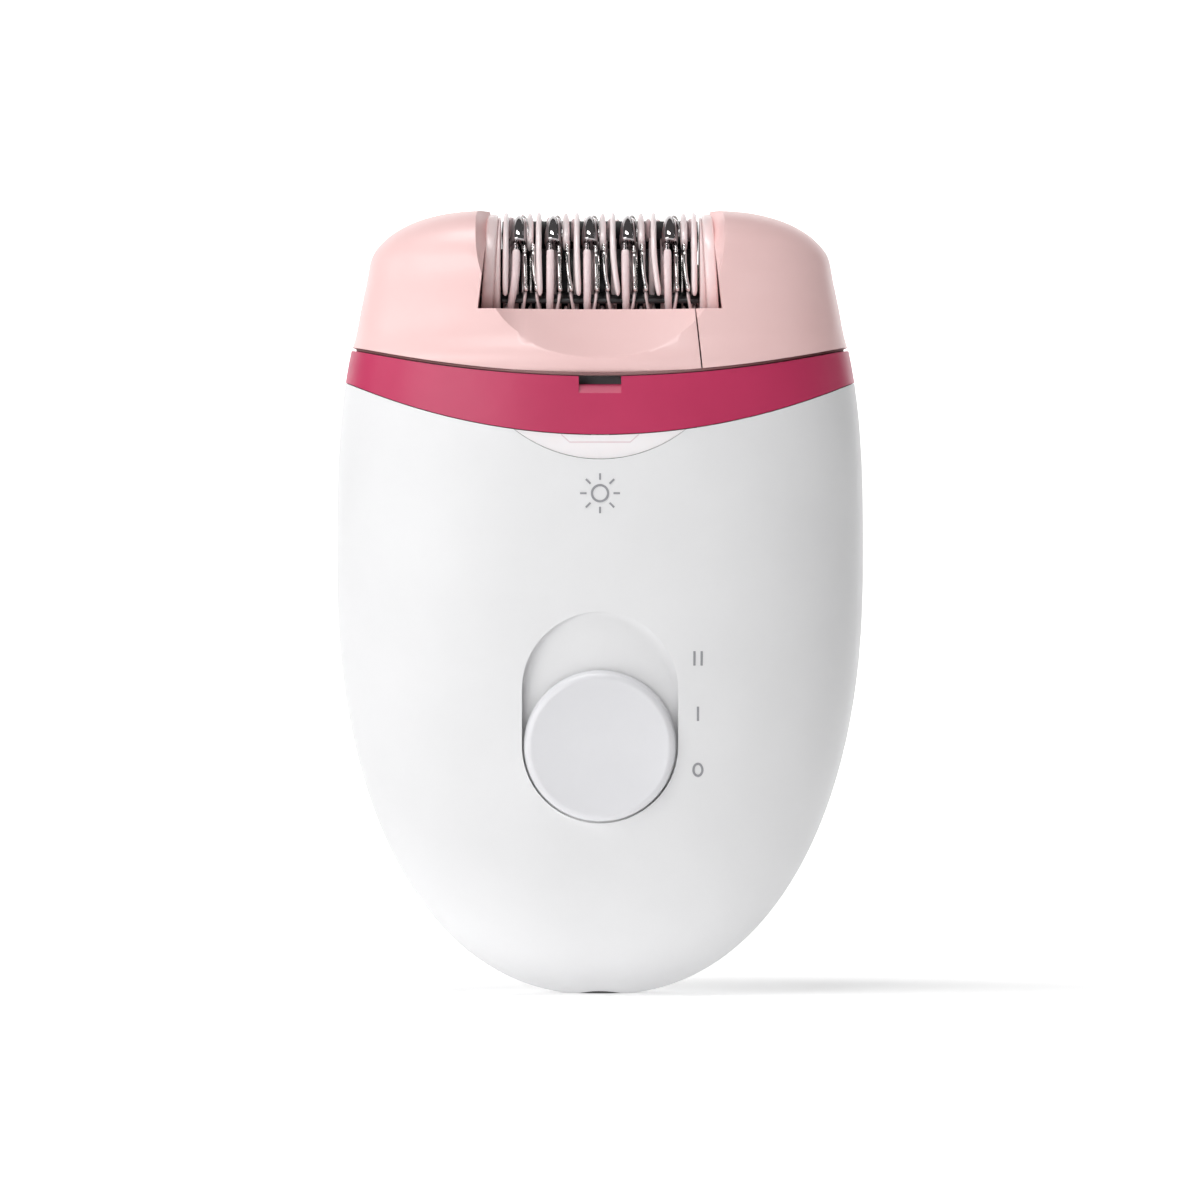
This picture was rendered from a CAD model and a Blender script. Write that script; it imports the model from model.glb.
import math

import bmesh
import bpy
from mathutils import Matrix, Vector


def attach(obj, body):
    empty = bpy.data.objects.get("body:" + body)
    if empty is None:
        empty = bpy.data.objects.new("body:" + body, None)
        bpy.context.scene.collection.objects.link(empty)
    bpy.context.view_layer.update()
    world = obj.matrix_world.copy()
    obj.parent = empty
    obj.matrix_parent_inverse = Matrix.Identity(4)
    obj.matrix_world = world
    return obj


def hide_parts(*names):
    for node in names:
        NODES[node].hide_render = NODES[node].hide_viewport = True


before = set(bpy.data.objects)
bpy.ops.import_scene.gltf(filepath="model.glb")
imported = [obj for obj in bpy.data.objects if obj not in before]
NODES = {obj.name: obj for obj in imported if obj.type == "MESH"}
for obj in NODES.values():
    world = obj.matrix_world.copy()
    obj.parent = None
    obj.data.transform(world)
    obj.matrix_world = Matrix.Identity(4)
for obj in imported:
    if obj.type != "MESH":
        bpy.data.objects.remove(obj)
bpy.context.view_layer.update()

# ---------------------------------------------------------------- camera and light
FRAME_HEIGHT = 0.1692      # metres that the picture's height covers at the object
VIEW_Z = 0.0553            # height of the camera, which looks level at the front
DISTANCE = 1.25
SENSOR = 36.0              # millimetres
ROOM_LIGHT = 0.13

cam_data = bpy.data.cameras.new("camera")
cam_data.sensor_width = SENSOR
cam_data.lens = SENSOR * DISTANCE / FRAME_HEIGHT
cam_data.clip_start, cam_data.clip_end = 0.05, 20.0
camera = bpy.data.objects.new("camera", cam_data)
camera.location = (0.0, -DISTANCE, VIEW_Z)
camera.rotation_euler = (math.radians(90), 0, 0)
bpy.context.scene.collection.objects.link(camera)
bpy.context.scene.camera = camera
bpy.context.scene.view_settings.view_transform = "Standard"


def area(name, place, aim, size, watts, size_y=None):
    """Soft rectangular lamp at a place, aimed at a point."""
    data = bpy.data.lights.new(name, "AREA")
    data.energy = watts
    data.shape = "RECTANGLE"
    data.size, data.size_y = size, size_y or size
    lamp = bpy.data.objects.new(name, data)
    lamp.location = place
    lamp.rotation_euler = (Vector(aim) - Vector(place)).to_track_quat("-Z", "Y").to_euler()
    bpy.context.scene.collection.objects.link(lamp)


CENTRE = (0, 0, 0.06)
area("key", (-0.66, -0.82, 0.36), CENTRE, 0.85, 4.65, size_y=0.5)
area("top", (-0.18, -0.25, 0.93), CENTRE, 0.6, 4.4, size_y=0.2)
area("strip", (-0.33, -0.98, 0.16), CENTRE, 0.06, 0.22, size_y=0.22)
area("rim_left", (-0.80, -0.08, 0.30), CENTRE, 0.2, 0.5, size_y=0.4)
area("rim_right", (0.75, 0.1, 0.15), CENTRE, 0.3, 0.15)
area("backdrop_light", (0.0, 0.9, 1.1), (0.0, 2.0, 0.3), 0.8, 9.0)

world = bpy.data.worlds.new("studio")
world.use_nodes = True
world.node_tree.nodes["Background"].inputs["Color"].default_value = (1, 1, 1, 1)
world.node_tree.nodes["Background"].inputs["Strength"].default_value = ROOM_LIGHT
bpy.context.scene.world = world


# ---------------------------------------------------------------- materials
def srgb(r, g, b):
    """Linear colour from 0-255 display values."""
    def linear(v):
        return v / 255 / 12.92 if v <= 10 else ((v / 255 + 0.055) / 1.055) ** 2.4
    return (linear(r), linear(g), linear(b), 1.0)


SOFT_PINK = (1.0, 0.75, 0.72)      # how far each colour travels inside the thin pink plastics


def moulded(name, low, high, rough, grain=900.0, depth=0.03, metal=0.0, mottle=60.0, sub=0.0):
    """Moulded or metal finish: mottled colour, uneven gloss and a fine grain bump."""
    mat = bpy.data.materials.new(name)
    mat.use_nodes = True
    tree = mat.node_tree
    nodes, links = tree.nodes, tree.links
    shader = nodes["Principled BSDF"]
    coord = nodes.new("ShaderNodeTexCoord")
    cloud = nodes.new("ShaderNodeTexNoise")
    cloud.inputs["Scale"].default_value = mottle
    cloud.inputs["Detail"].default_value = 4.0
    links.new(coord.outputs["Object"], cloud.inputs["Vector"])
    tint = nodes.new("ShaderNodeValToRGB")
    tint.color_ramp.elements[0].position, tint.color_ramp.elements[1].position = 0.3, 0.7
    tint.color_ramp.elements[0].color, tint.color_ramp.elements[1].color = low, high
    links.new(cloud.outputs["Fac"], tint.inputs["Fac"])
    links.new(tint.outputs["Color"], shader.inputs["Base Color"])
    fine = nodes.new("ShaderNodeTexNoise")
    fine.inputs["Scale"].default_value = grain
    fine.inputs["Detail"].default_value = 3.0
    links.new(coord.outputs["Object"], fine.inputs["Vector"])
    gloss = nodes.new("ShaderNodeMapRange")
    gloss.inputs["To Min"].default_value, gloss.inputs["To Max"].default_value = rough
    links.new(fine.outputs["Fac"], gloss.inputs["Value"])
    links.new(gloss.outputs["Result"], shader.inputs["Roughness"])
    bump = nodes.new("ShaderNodeBump")
    bump.inputs["Strength"].default_value = depth
    bump.inputs["Distance"].default_value = 0.0002
    links.new(fine.outputs["Fac"], bump.inputs["Height"])
    links.new(bump.outputs["Normal"], shader.inputs["Normal"])
    shader.inputs["Metallic"].default_value = metal
    if sub:
        shader.inputs["Subsurface Weight"].default_value = sub
        shader.inputs["Subsurface Scale"].default_value = 0.002
        shader.inputs["Subsurface Radius"].default_value = SOFT_PINK
    return mat


WHITE = moulded("white_shell", srgb(228, 228, 229), srgb(232, 232, 233), (0.42, 0.50), depth=0.01)
BUTTON = moulded("white_button", srgb(221, 221, 224), srgb(226, 226, 229), (0.3, 0.38))
MAGENTA = moulded("magenta", srgb(184, 46, 88), srgb(192, 52, 94), (0.36, 0.44))
PINK = moulded("pink_housing", srgb(240, 200, 198), srgb(244, 207, 205), (0.30, 0.40))
GUARD = moulded("pink_guard", srgb(238, 216, 216), srgb(244, 224, 223), (0.22, 0.3), sub=0.15)
RIB = moulded("pink_rib", srgb(236, 214, 216), srgb(242, 222, 223), (0.24, 0.32), sub=0.15)
FIN = moulded("pale_fin", srgb(244, 226, 227), srgb(249, 233, 233), (0.2, 0.28), sub=0.2)
DARK_CHROME = moulded("dark_chrome", srgb(166, 161, 163), srgb(186, 181, 182), (0.05, 0.10), metal=1.0)
SPRING = moulded("spring_steel", srgb(214, 212, 211), srgb(232, 230, 229), (0.08, 0.16), metal=1.0)
LENS = moulded("lens", srgb(250, 242, 244), srgb(253, 247, 248), (0.06, 0.12), sub=0.3)
INK = moulded("ink", srgb(146, 146, 150), srgb(156, 156, 160), (0.4, 0.5))
BLACK = moulded("black_plastic", srgb(28, 28, 30), srgb(38, 38, 40), (0.35, 0.5))
GREY = moulded("grey_plastic", srgb(120, 122, 125), srgb(134, 136, 139), (0.4, 0.55))
GEAR = moulded("gear_plastic", srgb(226, 220, 200), srgb(236, 231, 214), (0.3, 0.42))
BRASS = moulded("brass", srgb(190, 150, 80), srgb(214, 176, 100), (0.18, 0.3), metal=1.0)
STEEL = moulded("steel", srgb(170, 170, 172), srgb(196, 196, 198), (0.2, 0.32), metal=1.0)
MAGNET = moulded("magnet", srgb(62, 60, 60), srgb(78, 76, 75), (0.5, 0.65))
BOARD = moulded("board", srgb(20, 92, 52), srgb(30, 110, 62), (0.35, 0.5))
BOARD_BLACK = moulded("board_black", srgb(22, 22, 24), srgb(34, 34, 36), (0.4, 0.55))
LED = moulded("led", srgb(238, 236, 226), srgb(248, 246, 238), (0.1, 0.18))
WIRE = moulded("wire", srgb(170, 30, 32), srgb(190, 40, 40), (0.35, 0.5))
RIM = moulded("shadow_rim", srgb(128, 92, 92), srgb(142, 104, 104), (0.5, 0.6))

# the outline inside the light window, in metres
LINE_HALF, LINE_Z = 0.0042, 0.0772     # half length and height of its level part
LINE_THICK, END_THICK = 0.00009, 0.0001
END_X, END_HALF = 0.0048, 0.0006       # middle and half length of its rising ends
END_SLOPE = 0.9
LINE_SHARE = 0.5                       # how much of the line's colour shows


def window_lines(mat):
    """Fine moulded outline inside the light window, by place on the part."""
    tree = mat.node_tree
    shader = tree.nodes["Principled BSDF"]
    source = shader.inputs["Base Color"].links[0].from_socket
    coord = tree.nodes.new("ShaderNodeTexCoord")
    split = tree.nodes.new("ShaderNodeSeparateXYZ")
    tree.links.new(coord.outputs["Object"], split.inputs["Vector"])

    def maths(operation, *values):
        node = tree.nodes.new("ShaderNodeMath")
        node.operation = operation
        for socket, value in zip(node.inputs, values):
            if isinstance(value, float):
                socket.default_value = value
            else:
                tree.links.new(value, socket)
        return node.outputs[0]

    x, z = maths("ABSOLUTE", split.outputs["X"]), split.outputs["Z"]
    level = maths("MULTIPLY", maths("LESS_THAN", x, LINE_HALF), maths("COMPARE", z, LINE_Z, LINE_THICK))
    slope = maths("ADD", maths("MULTIPLY", maths("SUBTRACT", x, LINE_HALF), END_SLOPE), LINE_Z)
    near = maths("COMPARE", z, slope, END_THICK)
    ends = maths("MULTIPLY", near, maths("COMPARE", x, END_X, END_HALF))
    mask = maths("MAXIMUM", level, ends)
    mix = tree.nodes.new("ShaderNodeMix")
    mix.data_type = "RGBA"
    tree.links.new(maths("MULTIPLY", mask, LINE_SHARE), mix.inputs[0])
    tree.links.new(source, mix.inputs[6])
    mix.inputs[7].default_value = srgb(214, 176, 184)
    tree.links.new(mix.outputs[2], shader.inputs["Base Color"])


window_lines(LENS)

FINISH = {
    "white_shell": WHITE, "white_button": BUTTON, "magenta": MAGENTA, "pink_housing": PINK,
    "pink_guard": GUARD, "pink_rib": RIB, "pale_fin": FIN, "dark_chrome": DARK_CHROME,
    "spring_steel": SPRING, "lens": LENS, "ink": INK, "black_plastic": BLACK, "grey_plastic": GREY,
    "gear_plastic": GEAR, "brass": BRASS, "steel": STEEL, "magnet": MAGNET, "board": BOARD,
    "board_black": BOARD_BLACK, "led": LED, "wire": WIRE,
}
for name, node in NODES.items():
    for slot in node.material_slots:
        if slot.material:
            finish = FINISH.get(slot.material.name.split(".")[0])
            if finish:
                slot.link = "OBJECT"
                slot.material = finish
            else:
                print("NO FINISH", name, slot.material.name)

# ---------------------------------------------------------------- edges of the CAD pieces
MM = 0.001


def soften(name, width):
    """Round the sharp edges of a CAD node by a small radius."""
    node = NODES[name]
    weld = node.modifiers.new("weld", "WELD")
    weld.merge_threshold = 0.000002
    bevel = node.modifiers.new("bevel", "BEVEL")
    bevel.width = width * MM
    bevel.segments = 3
    bevel.limit_method = "ANGLE"
    bevel.angle_limit = math.radians(32)
    flat = node.modifiers.new("normals", "WEIGHTED_NORMAL")
    flat.keep_sharp = True
    flat.weight = 80


soften("collar_ring", 0.18)
soften("head_housing", 0.30)
soften("gear_cover", 0.30)

# ---------------------------------------------------------------- drum pieces
# Millimetres. A row of a lobe is (angle from the front up, x, half width, inner radius, outer radius).
DRUM_Z = 100.0
LOBES = 3
SEAT_X, PITCH = -8.67, 5.31        # seat of the first unit on the drum core, and the step to the next
AXLE_R, CORE_R = 1.6, 4.8
CORE_X = (-13.95, 13.6)


def on_drum(x, r, a):
    """Point at a radius and angle about the drum axis, in metres."""
    return (x * MM, -r * math.cos(a) * MM, (DRUM_Z + r * math.sin(a)) * MM)


def section(x, half_w, r_in, r_out, power=4.0, steps=12):
    """Rounded rectangle in the plane of X and radius."""
    mid, half_r = (r_in + r_out) / 2, (r_out - r_in) / 2
    points = []
    for i in range(steps):
        c, t = math.cos(2 * math.pi * i / steps), math.sin(2 * math.pi * i / steps)
        points.append((
            x + half_w * math.copysign(abs(c) ** (2 / power), c),
            mid + half_r * math.copysign(abs(t) ** (2 / power), t),
        ))
    return points


def skin_capped(bm, loops):
    """Faces from each loop to the next, and over both ends."""
    count = len(loops[0])
    for low, high in zip(loops, loops[1:]):
        for i in range(count):
            j = (i + 1) % count
            bm.faces.new((low[i], low[j], high[j], high[i]))
    bm.faces.new(loops[0][::-1])
    bm.faces.new(loops[-1])


def skin_closed(bm, loops):
    """Faces from each loop to the next and from the last to the first."""
    count = len(loops[0])
    for a, b in zip(loops, loops[1:] + loops[:1]):
        for j in range(count):
            k = (j + 1) % count
            bm.faces.new((a[j], b[j], b[k], a[k]))


def add_lobe(bm, rows, turn, power=4.0):
    """Closed body through sections at angles from the front up, turned about the drum axis."""
    loops = []
    for angle, x, half_w, r_in, r_out in rows:
        a = math.radians(angle + turn)
        loops.append([bm.verts.new(on_drum(px, r, a)) for px, r in section(x, half_w, r_in, r_out, power)])
    skin_capped(bm, loops)


def add_ring(bm, r_in, r_out, x0, x1, steps=48):
    """Disc with a rounded rim on the drum axis."""
    edge = min(0.12, (x1 - x0) / 3)
    rim = [
        (x0, r_in), (x0, r_out - edge), (x0 + edge, r_out),
        (x1 - edge, r_out), (x1, r_out - edge), (x1, r_in),
    ]
    loops = []
    for i in range(steps):
        a = 2 * math.pi * i / steps
        loops.append([bm.verts.new(on_drum(x, r, a)) for x, r in rim])
    skin_closed(bm, loops)


def finish_piece(name, bm, body, slot, replaced, smooth=1):
    """Turn a bmesh into a riding piece with its record finish."""
    bmesh.ops.recalc_face_normals(bm, faces=bm.faces)
    mesh = bpy.data.meshes.new(name)
    bm.to_mesh(mesh)
    bm.free()
    for face in mesh.polygons:
        face.use_smooth = True
    piece = bpy.data.objects.new(name, mesh)
    bpy.context.scene.collection.objects.link(piece)
    mesh.materials.append(FINISH[slot])
    if smooth:
        sub = piece.modifiers.new("sub", "SUBSURF")
        sub.levels = sub.render_levels = smooth
    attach(piece, body)
    if replaced:
        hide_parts(*replaced)
    return piece


def lobed(name, slot, replaced, shapes, rings=(), power=4.0):
    """Drum piece: shapes repeated for each lobe, on plain rings."""
    bm = bmesh.new()
    for rows in shapes:
        for lobe in range(LOBES):
            add_lobe(bm, rows, 360 / LOBES * lobe, power)
    for ring in rings:
        add_ring(bm, *ring)
    finish_piece(name, bm, "drum", slot, replaced)


def moved(rows, x):
    """Rows shifted along X."""
    return [(angle, x + dx, half_w, r_in, r_out) for angle, dx, half_w, r_in, r_out in rows]


HOOD_X = (-11.4, -6.6, -1.45, 3.9, 9.8)
DOME = (
    (40.5, 0, 1.05, 7.4, 9.0), (42, 0, 1.2, 6.6, 9.3), (48, 0, 1.25, 5.6, 9.6), (56, 0, 1.25, 5.2, 9.72),
    (64, 0, 1.18, 5.2, 9.78), (71, 0, 1.04, 5.4, 9.8), (77, 0, 0.84, 5.8, 9.78), (82, 0, 0.56, 6.4, 9.72),
    (86, 0, 0.24, 7.4, 9.5),
)
# the crumpled clip under each hood
CRINKLE = (
    (26, -0.45, 0.25, 6.2, 8.6), (28, -0.5, 0.58, 6.2, 9.1), (30, -0.35, 0.46, 6.2, 8.7),
    (32, -0.5, 0.62, 6.2, 9.15), (34, -0.4, 0.48, 6.2, 8.75), (36, -0.5, 0.62, 6.2, 9.1),
    (38.5, -0.45, 0.5, 6.2, 8.8), (41, -0.5, 0.4, 6.4, 8.6),
)
# the thin bright wire that runs over the hood's right side
HOOD_WIRE = (
    (42, 1.26, 0.05, 8.9, 9.3), (50, 1.32, 0.07, 9.1, 9.72), (60, 1.24, 0.07, 9.2, 9.8),
    (70, 1.02, 0.06, 9.3, 9.82), (78, 0.7, 0.05, 9.3, 9.8), (84, 0.3, 0.03, 9.3, 9.7),
)
# tweezer strips: distance from the hood, drift of the foot, angle of the top
STRIPS = ((0.88, 0.15, 26.5), (2.05, 0.5, 29.0))


def strip(sx, drift, tall):
    """One leaning tweezer strip: its blade, and the crumpled tip above it."""
    foot = sx + drift
    blade = [
        (-11, foot + 0.05, 0.2, 6.2, 8.9), (-9.5, foot, 0.36, 6.0, 9.35),
        (-4.0, foot - 0.05, 0.36, 5.9, 9.4), (-3.2, foot - 0.08, 0.30, 5.8, 9.0),
        (1, sx + drift * 0.5, 0.33, 5.8, 9.15),
        (9, sx + drift * 0.2, 0.34, 5.8, 9.22), (18, sx, 0.34, 5.8, 9.22),
        (tall - 1.5, sx, 0.34, 5.8, 9.18), (tall, sx, 0.28, 6.0, 9.0),
    ]
    tip = [
        (tall + 0.5, sx, 0.16, 6.4, 8.5), (tall + 2, sx - 0.1, 0.40, 6.4, 9.0),
        (tall + 3.6, sx + 0.05, 0.24, 6.4, 8.6), (tall + 5.2, sx - 0.08, 0.40, 6.4, 8.95),
        (tall + 7, sx, 0.22, 6.4, 8.5), (tall + 8.6, sx - 0.1, 0.34, 6.6, 8.8),
        (tall + 10.5, sx - 0.05, 0.12, 6.8, 8.4),
    ]
    return [blade, tip]


# rib under each hood: how far its foot leans, and rows with the share of that lean instead of x
RIB_LEAN = (-0.9, -0.1, 0.0, 0.1, 0.15)
RIB_ROWS = (
    (-33, 1.0, 0.30, 6.3, 9.0), (-31.5, 1.0, 0.52, 6.2, 9.4), (-20, 0.75, 0.56, 6.2, 9.5),
    (-8, 0.35, 0.58, 6.2, 9.5), (4, 0.1, 0.6, 6.2, 9.5), (16, 0, 0.6, 6.2, 9.5),
    (26.5, 0, 0.6, 6.2, 9.5), (28.4, 0, 0.58, 6.3, 9.46), (28.9, 0, 0.45, 6.6, 9.2),
)
# legs below the strips: x of the top and of the foot from the hood
LEGS = ((0.95, 0.55), (2.5, 3.0))


def leg(top, foot):
    """One pink leg that carries a strip."""
    return [
        (-32, foot - 0.1, 0.15, 6.2, 8.8), (-30, foot, 0.30, 6.0, 9.2),
        (-22, (foot + top) / 2, 0.27, 5.9, 9.25), (-13, top, 0.24, 5.8, 9.2), (-11, top, 0.16, 6.0, 8.9),
    ]


for unit in range(5):
    number, hx, seat = unit + 1, HOOD_X[unit], SEAT_X + PITCH * unit
    lobed(f"hood_{number}_formed", "dark_chrome", [f"hood_{number}"],
          [moved(DOME, hx), moved(CRINKLE, hx)], power=2.3)

    strips = []
    for offset, drift, tall in STRIPS:
        strips += strip(hx + offset, drift, tall)
    strips.append(moved(HOOD_WIRE, hx))
    lobed(f"tweezer_pair_{number}_formed", "spring_steel", [f"tweezer_pair_{number}"], strips,
          [(CORE_R, 6.1, seat - 2.4, seat - 1.9), (CORE_R, 6.1, seat - 1.3, seat - 0.8)])

    rib = [
        (angle, hx - 0.35 + RIB_LEAN[unit] * share, half_w, r_in, r_out)
        for angle, share, half_w, r_in, r_out in RIB_ROWS
    ]
    legs = [leg(hx + top, hx + foot) for top, foot in LEGS]
    lobed(f"rib_disc_{number}_formed", "pink_rib", [f"rib_disc_{number}"], [rib] + legs,
          [(CORE_R, 6.4, seat - 4.1, seat - 2.7)])

# dark core with one thin bar behind each lobe, which closes the view through the drum
BAR = [(angle, 0.0, 13.88, 4.5, r) for angle, r in ((98.5, 8.6), (99.5, 8.9), (102, 8.9), (103, 8.6))]
SQUARE = 40.0               # power of a section with sharp corners
bm = bmesh.new()
add_ring(bm, AXLE_R, CORE_R, *CORE_X)
for lobe in range(LOBES):
    add_lobe(bm, BAR, 360 / LOBES * lobe, SQUARE)
finish_piece("drum_core_formed", bm, "drum", "black_plastic", ["drum_core"], smooth=0)

# fin discs: x at the top and at the foot, the seat in the CAD drum, and rows as (angle, half width, radii)
FIN_TOP = (-13.2, -8.6, -3.25, 1.8, 7.5, 13.2)
FIN_FOOT = (-13.25, -8.4, -3.0, 2.5, 8.2, 13.25)
FIN_SEAT = (-13.25,) + tuple(SEAT_X + PITCH * k for k in range(4)) + (13.15,)
FIN_SEAT_HALF = 0.43
FIN_ROWS = (
    (-14, 0.10, 7.4, 9.0), (-12.5, 0.28, 6.6, 9.6), (-10, 0.38, 6.3, 9.85), (-6, 0.43, 6.2, 9.95),
    (8, 0.44, 6.2, 9.97), (24, 0.44, 6.2, 9.97), (40, 0.44, 6.2, 9.97), (56, 0.44, 6.2, 9.97),
    (72, 0.43, 6.2, 9.97), (84, 0.40, 6.2, 9.98), (90, 0.30, 6.4, 9.99), (94, 0.14, 7.0, 9.8),
)
TOOTH_X = (-9.85, -4.8, 0.35, 5.75, 11.75)
TOOTH = (
    (40, 0.1, 0.30, 6.4, 8.9), (43, 0.05, 0.5, 6.3, 9.3), (56, 0, 0.56, 6.2, 9.5), (70, 0, 0.55, 6.2, 9.65),
    (80, 0, 0.46, 6.2, 9.8), (87, 0, 0.3, 6.4, 9.93), (93, 0, 0.14, 7.0, 9.85),
)
for number, (top, foot, seat) in enumerate(zip(FIN_TOP, FIN_FOOT, FIN_SEAT)):
    rows = []
    for angle, half_w, r_in, r_out in FIN_ROWS:
        share = min(max((30 - angle) / 40, 0.0), 1.0)      # the lower part leans out to the foot
        rows.append((angle, top + (foot - top) * share**1.5, half_w, r_in, r_out))
    shapes = [rows]
    if number:
        shapes.append(moved(TOOTH, TOOTH_X[number - 1]))
    lobed(f"fin_disc_{number + 1}_formed", "pale_fin", [f"fin_disc_{number + 1}"], shapes,
          [(CORE_R, 6.4, seat - FIN_SEAT_HALF, seat + FIN_SEAT_HALF)])


# ---------------------------------------------------------------- guards beside the drum
def mouth_half(z):
    """Half width of the drum opening at height z, as in the CAD source."""
    return 17.05 - 0.85 / 14.1 * (z - 95.9)


# across a guard: the broad outer band, a groove, and the inner band beside the end fin;
# a row is (band, share of the way across it, radius)
GUARD_SECTION = (
    ("outer", 0.0, 1.7), ("outer", 0.0, 6.0), ("outer", 0.0, 9.3), ("outer", 0.07, 9.55),
    ("outer", 0.2, 9.66), ("outer", 0.5, 9.7), ("outer", 0.8, 9.66), ("outer", 0.93, 9.55),
    ("outer", 1.0, 9.35), ("outer", 1.0, 8.9), ("inner", 0.12, 8.9), ("inner", 0.15, 9.15),
    ("inner", 0.4, 9.3), ("inner", 0.8, 9.28), ("inner", 1.0, 9.1), ("inner", 1.0, 6.0),
    ("inner", 1.0, 5.2), ("outer", 1.0, 5.0), ("outer", 1.0, 1.7),
)
GUARD_GAP = 0.35            # to the wall of the mouth
OUTER_BAND = 1.62
GUARD_INSIDE, SHELF_MIN = 13.92, 13.95
GUARD_FROM, GUARD_SWEEP, GUARD_STEPS = -53, 286, 44
for sign, name, inner_r in ((-1, "left_guard", 1.7), (1, "right_guard", 3.3)):
    bm = bmesh.new()
    loops = []
    for step in range(GUARD_STEPS + 1):
        a = math.radians(GUARD_FROM + GUARD_SWEEP * step / GUARD_STEPS)
        ring = []
        for band, across, radius in GUARD_SECTION:
            r = max(radius, inner_r)
            outer_x = mouth_half(DRUM_Z + r * math.sin(a)) - GUARD_GAP
            shelf = max(outer_x - OUTER_BAND, SHELF_MIN)
            if band == "outer":
                x = outer_x + (shelf - outer_x) * across
            else:
                x = shelf + (GUARD_INSIDE - shelf) * across
            ring.append(bm.verts.new(on_drum(sign * x, r, a)))
        loops.append(ring)
    skin_capped(bm, loops)
    finish_piece(f"{name}_formed", bm, "head", "pink_guard", [name])

# ---------------------------------------------------------------- rim in the gap under the head
SEAM_LOW, SEAM_R = 86.35, 155.0        # lowest point and radius of the seam's arc across the front
HEAD_HALF_W, HEAD_HALF_D, HEAD_Z = 34.85, 19.2, 90.3
FLARE_W, FLARE_D = 0.20, 0.33          # how fast the head widens downwards
OUTLINE_POWER = 0.8
# height over the seam, and inset from the outline
RIM_SECTION = ((0.10, 0.55), (0.30, 0.45), (0.52, 0.50), (0.56, 1.2), (0.10, 1.2))
RIM_STEPS = 160


def head_ring(t, z_offset, inset):
    """Point of the head's outline at the seam arc, in metres."""
    c, q = math.cos(t), math.sin(t)
    z = 90.0
    for _ in range(4):
        half_w = HEAD_HALF_W + FLARE_W * (HEAD_Z - z) - inset
        half_d = HEAD_HALF_D + FLARE_D * (HEAD_Z - z) - inset
        x = half_w * math.copysign(abs(c) ** OUTLINE_POWER, c)
        y = half_d * math.copysign(abs(q) ** OUTLINE_POWER, q)
        z = SEAM_LOW + SEAM_R - math.sqrt(SEAM_R**2 - x * x) + z_offset
    return Vector((x, y, z)) * MM


bm = bmesh.new()
loops = []
for step in range(RIM_STEPS):
    t = 2 * math.pi * step / RIM_STEPS
    loops.append([bm.verts.new(head_ring(t, over, inset)) for over, inset in RIM_SECTION])
skin_closed(bm, loops)
rim = finish_piece("head_shadow_rim", bm, "head", "pink_housing", [], smooth=0)
rim.data.materials.clear()
rim.data.materials.append(RIM)

# ---------------------------------------------------------------- switch button
TILT = math.radians(5.853)
OUT = Vector((0, -math.cos(TILT), -math.sin(TILT)))
UP = Vector((0, -math.sin(TILT), math.cos(TILT)))
ACROSS = Vector((1, 0, 0))
TRACK_Z = 38.9              # middle of the travel
HALF_TRAVEL = 3.95
BUTTON_TURNS = 96


def body_depth(z):
    """Half depth of the lower part of the egg at height z, in millimetres, as in the CAD source."""
    return 21.0 * (1 - ((60.9 - z) / 61.25) ** 2.24) ** (1 / 2.24)


BUTTON_AT = Vector((0, -body_depth(TRACK_Z), TRACK_Z)) - UP * HALF_TRAVEL
# radius and height of the dish, the bevel, the side and the skirt
BUTTON_PROFILE = (
    (0.0, 0.40), (1.6, 0.41), (3.2, 0.45), (4.8, 0.52), (6.4, 0.63), (7.8, 0.75), (8.9, 0.86), (9.25, 0.91),
    (9.45, 0.95), (9.6, 0.95), (9.75, 0.93), (10.1, 0.75), (10.35, 0.48), (10.45, 0.2), (10.45, -0.6),
    (10.6, -0.7), (10.6, -0.78), (10.2, -0.8), (0.0, -0.8),
)


def on_button(radius, height, a=0.0):
    """Point about the button's axis, in metres."""
    return (BUTTON_AT + OUT * height + ACROSS * radius * math.cos(a) + UP * radius * math.sin(a)) * MM


bm = bmesh.new()
start = bm.verts.new(on_button(*BUTTON_PROFILE[0]))
end = bm.verts.new(on_button(*BUTTON_PROFILE[-1]))
loops = [
    [bm.verts.new(on_button(radius, height, 2 * math.pi * i / BUTTON_TURNS)) for i in range(BUTTON_TURNS)]
    for radius, height in BUTTON_PROFILE[1:-1]
]
for i in range(BUTTON_TURNS):
    j = (i + 1) % BUTTON_TURNS
    bm.faces.new((start, loops[0][i], loops[0][j]))
    bm.faces.new((end, loops[-1][j], loops[-1][i]))
    for low, high in zip(loops, loops[1:]):
        bm.faces.new((low[i], low[j], high[j], high[i]))
finish_piece("switch_button_formed", bm, "switch", "white_button", ["switch_button"])

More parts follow.
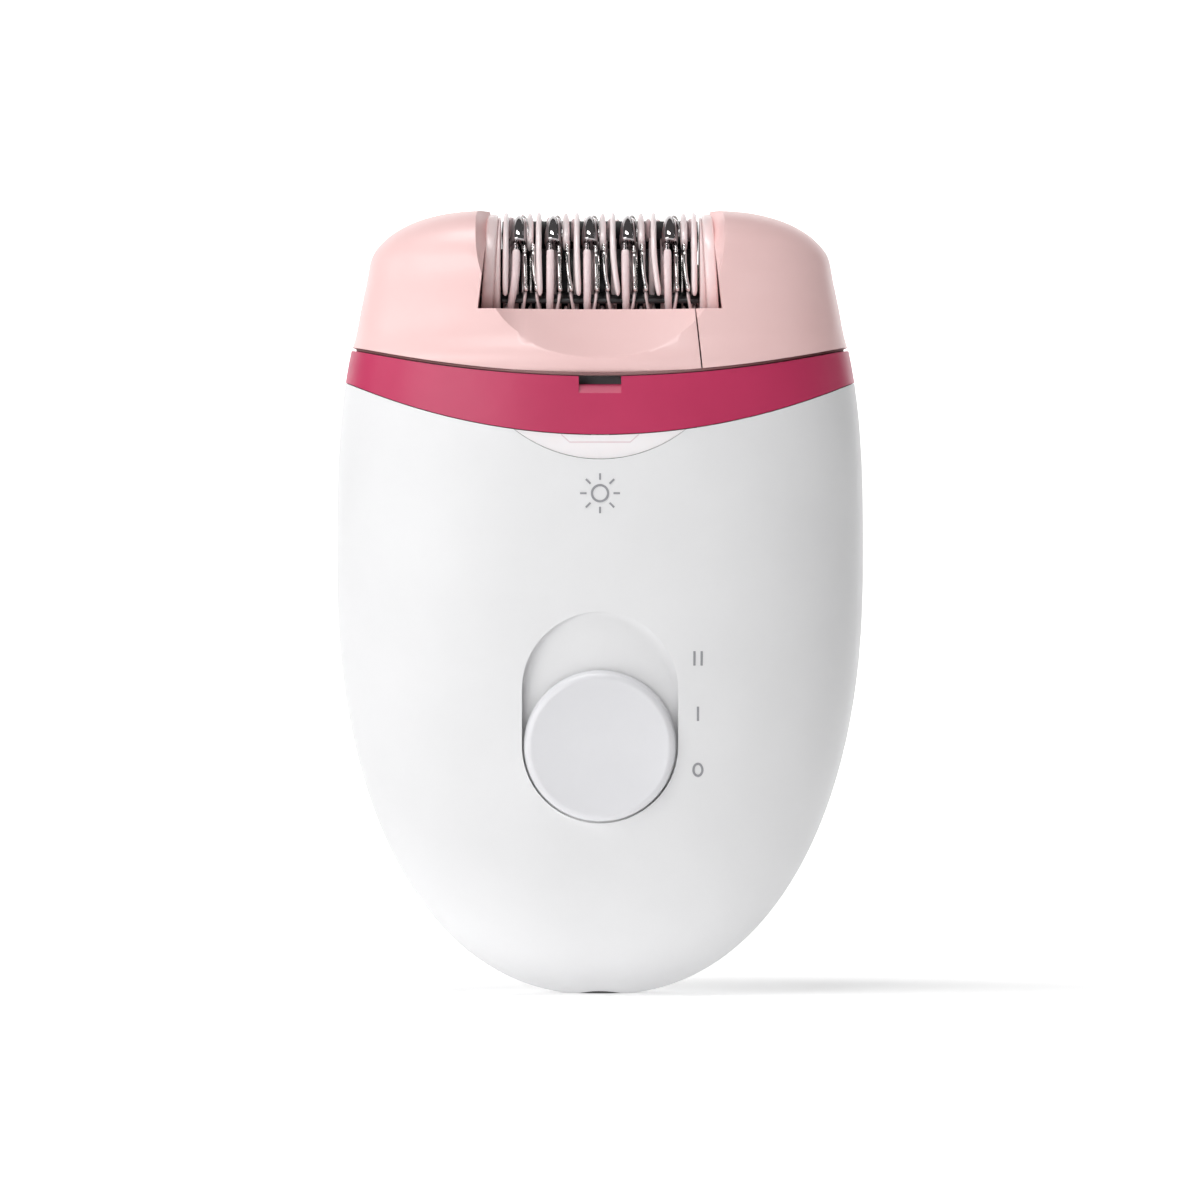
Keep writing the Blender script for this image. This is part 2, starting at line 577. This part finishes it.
# ---------------------------------------------------------------- floor and backdrop
# metres
STAGE_HALF = 3.0
FLOOR_FRONT, BEND_Y, BEND_R, TOP_Z = -2.0, 1.7, 0.8, 2.6
BEND_STEPS = 16
FLOOR_DROP = 0.00002        # keeps the floor just clear of the part's flat
GLOW_Y, GLOW = (-0.05, 0.35), (0.26, 0.75)


def sweep_stage():
    """White floor that curves up into a backdrop."""
    profile = [(FLOOR_FRONT, 0.0), (BEND_Y, 0.0)]
    for i in range(1, BEND_STEPS + 1):
        a = math.pi / 2 * i / BEND_STEPS
        profile.append((BEND_Y + BEND_R * math.sin(a), BEND_R - BEND_R * math.cos(a)))
    profile.append((BEND_Y + BEND_R, TOP_Z))
    mesh = bpy.data.meshes.new("stage")
    bm = bmesh.new()
    rows = [[bm.verts.new((x, y, z - FLOOR_DROP)) for x in (-STAGE_HALF, STAGE_HALF)] for y, z in profile]
    for a, b in zip(rows, rows[1:]):
        bm.faces.new((a[0], a[1], b[1], b[0]))
    bm.to_mesh(mesh)
    bm.free()
    for face in mesh.polygons:
        face.use_smooth = True
    stage = bpy.data.objects.new("stage", mesh)
    bpy.context.scene.collection.objects.link(stage)
    mat = moulded("backdrop", srgb(250, 250, 250), srgb(253, 253, 253), (0.8, 0.9), grain=40.0, mottle=3.0)
    shader = mat.node_tree.nodes["Principled BSDF"]
    shader.inputs["Emission Color"].default_value = (1, 1, 1, 1)
    tree = mat.node_tree
    coord = tree.nodes.new("ShaderNodeTexCoord")
    split = tree.nodes.new("ShaderNodeSeparateXYZ")
    far = tree.nodes.new("ShaderNodeMapRange")
    far.interpolation_type = "SMOOTHSTEP"
    far.inputs["From Min"].default_value, far.inputs["From Max"].default_value = GLOW_Y
    far.inputs["To Min"].default_value, far.inputs["To Max"].default_value = GLOW
    tree.links.new(coord.outputs["Object"], split.inputs["Vector"])
    tree.links.new(split.outputs["Y"], far.inputs["Value"])
    tree.links.new(far.outputs["Result"], shader.inputs["Emission Strength"])
    mesh.materials.append(mat)


sweep_stage()
